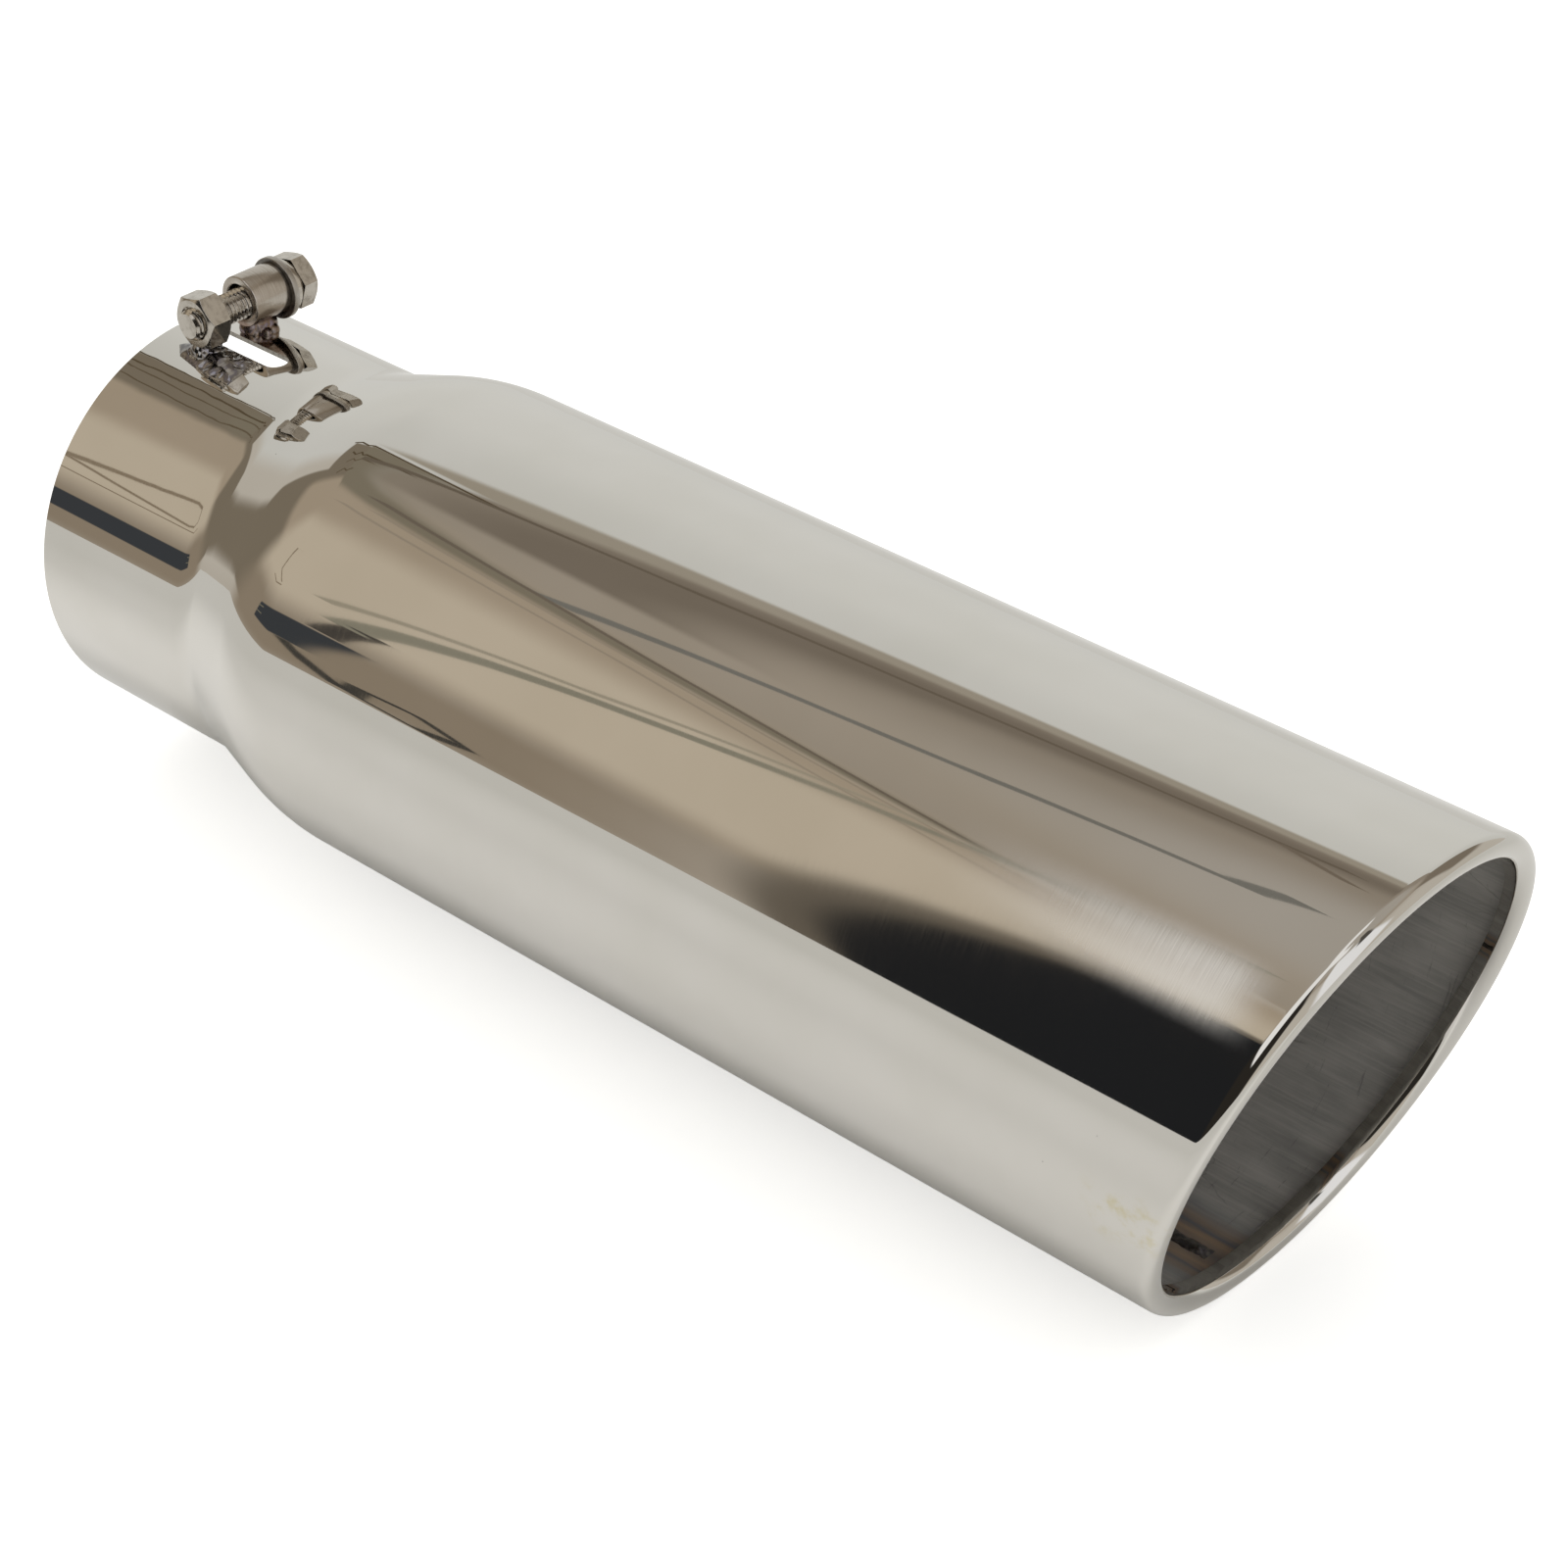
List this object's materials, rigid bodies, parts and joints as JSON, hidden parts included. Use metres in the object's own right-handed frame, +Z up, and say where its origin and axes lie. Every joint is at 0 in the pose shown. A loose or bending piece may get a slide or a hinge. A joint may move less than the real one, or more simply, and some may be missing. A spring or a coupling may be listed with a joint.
{
  "type": "exhaust tip",
  "caption": "Round steel exhaust tip with a slotted clamp neck, a flared body, a slanted rolled outlet and a clamp bolt across the slot.",
  "frame": {"origin": "centre of the inlet edge, on the tube's axis", "axes": "+X along the tube to the outlet, +Z up through the clamp slot and the bolt, +Y to the side of the bolt's head"},
  "size_m": [0.4687, 0.1524, 0.1623],
  "materials": {
    "polished_steel": "mirror polished outside, dull mill finish inside",
    "bolt_steel": "bright stainless",
    "sleeve_steel": "satin turned steel with a light heat tint",
    "washer_steel": "dull dark steel",
    "weld_bead": "rippled weld metal with blue and purple heat tint"
  },
  "bodies": {
    "root": {"tip_body": "polished_steel", "clamp_bolt": "bolt_steel", "weld_nut": "bolt_steel", "bolt_sleeve": "sleeve_steel", "flat_washer": "washer_steel", "lock_washer": "bolt_steel", "nut_weld": "weld_bead", "sleeve_weld": "weld_bead"}
  },
  "joints": []
}
